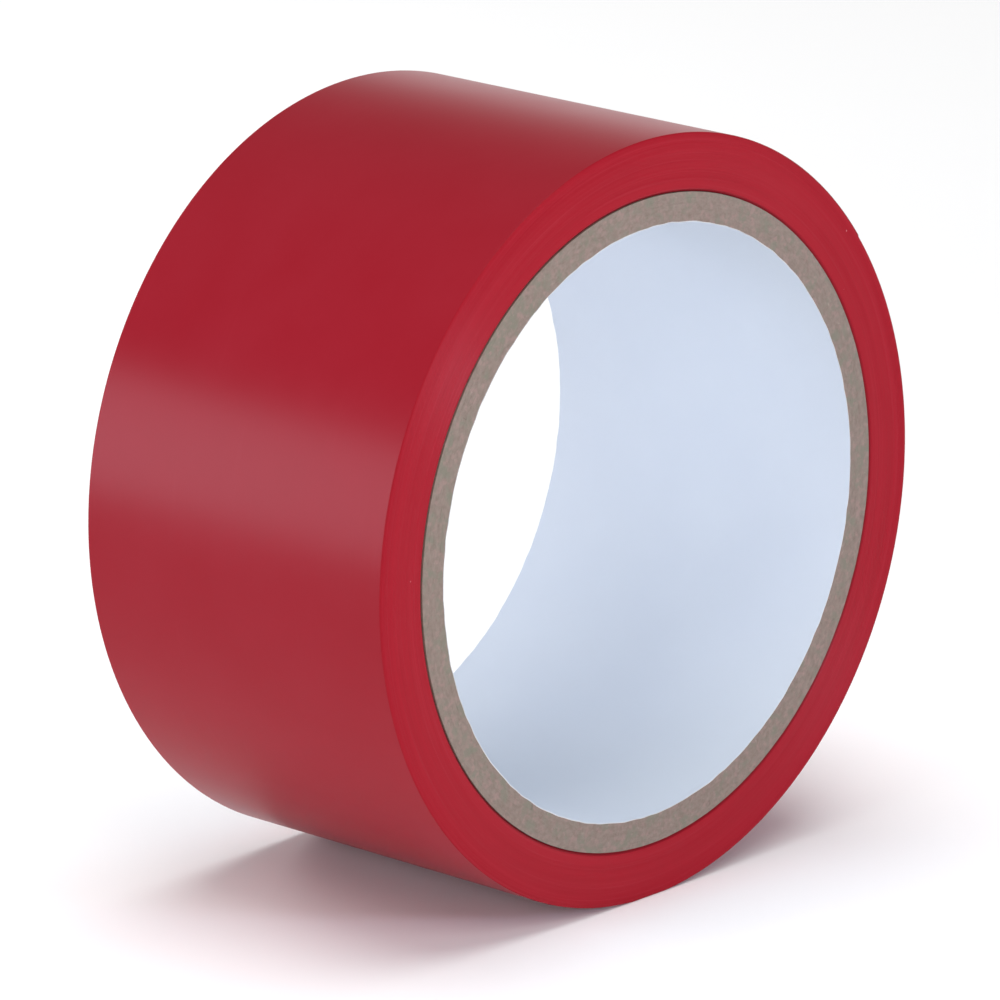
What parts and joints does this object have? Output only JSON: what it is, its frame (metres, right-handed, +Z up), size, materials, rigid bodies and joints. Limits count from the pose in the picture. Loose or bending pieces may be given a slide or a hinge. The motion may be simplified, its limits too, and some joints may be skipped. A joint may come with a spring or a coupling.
{
  "type": "electrical tape roll",
  "caption": "Wide roll of red PVC electrical tape on a spiral-wound board core with a paper-lined bore, standing on its rim, with a free end that peels back.",
  "frame": {"origin": "on the surface that the roll stands on, under the middle of the core", "axes": "+Y along the roll's axis, away from the side face that the picture shows; +Z up"},
  "size_m": [0.0983, 0.05, 0.098],
  "materials": {
    "tape_film": "satin",
    "core_board": "matte",
    "core_paper": "matte"
  },
  "bodies": {
    "roll": {"core_liner": "core_paper", "core_ply_1": "core_board", "core_ply_2": "core_board", "core_ply_3": "core_board", "core_ply_4": "core_board", "core_ply_5": "core_board", "tape_winding": "tape_film"},
    "tail": {"tape_tail": "tape_film"}
  },
  "joints": [
    {"name": "tail_peel", "type": "hinge", "parent": "roll", "child": "tail", "pos_m": [0.02447, 0, 0.0915], "axis": [0, -1, 0], "range_deg": [0, 120]}
  ]
}
